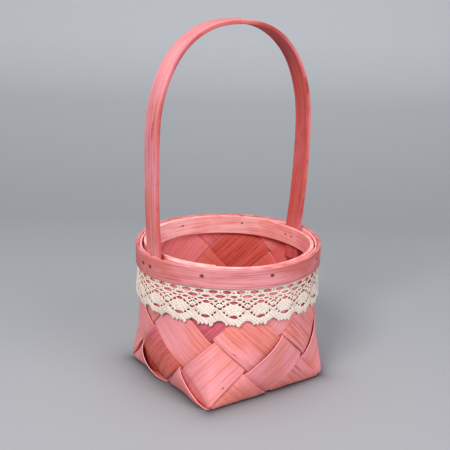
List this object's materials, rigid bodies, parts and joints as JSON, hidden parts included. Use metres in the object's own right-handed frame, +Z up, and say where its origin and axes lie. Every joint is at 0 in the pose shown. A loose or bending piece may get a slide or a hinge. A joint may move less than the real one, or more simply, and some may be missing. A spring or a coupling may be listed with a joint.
{
  "type": "flower girl basket",
  "caption": "Small plaited wooden splint basket with a square base, a round hooped rim, a tall bent handle and a lace trim under the rim.",
  "frame": {"origin": "on the floor, under the middle of the base", "axes": "+Z up; the handle's bow lies in the XZ plane; the sides of the square base are square to X and Y"},
  "size_m": [0.15, 0.145, 0.2808],
  "materials": {
    "splint_wood": "dyed pink veneer, matte",
    "hoop_wood": "dyed pink wood, matte",
    "lace_cotton": "cream cotton lace",
    "nail_steel": "dulled, stained by the dye"
  },
  "bodies": {
    "root": {"splint_a1": "splint_wood", "splint_a2": "splint_wood", "splint_a3": "splint_wood", "splint_a4": "splint_wood", "splint_b1": "splint_wood", "splint_b2": "splint_wood", "splint_b3": "splint_wood", "splint_b4": "splint_wood", "outer_rim_hoop": "hoop_wood", "inner_rim_hoop": "hoop_wood", "handle_bow": "hoop_wood", "lace_trim": "lace_cotton", "rim_nail_1": "nail_steel", "rim_nail_2": "nail_steel", "rim_nail_3": "nail_steel", "rim_nail_4": "nail_steel", "rim_nail_5": "nail_steel", "rim_nail_6": "nail_steel", "handle_nail_left_1": "nail_steel", "handle_nail_left_2": "nail_steel", "handle_nail_right_1": "nail_steel", "handle_nail_right_2": "nail_steel"}
  },
  "joints": []
}
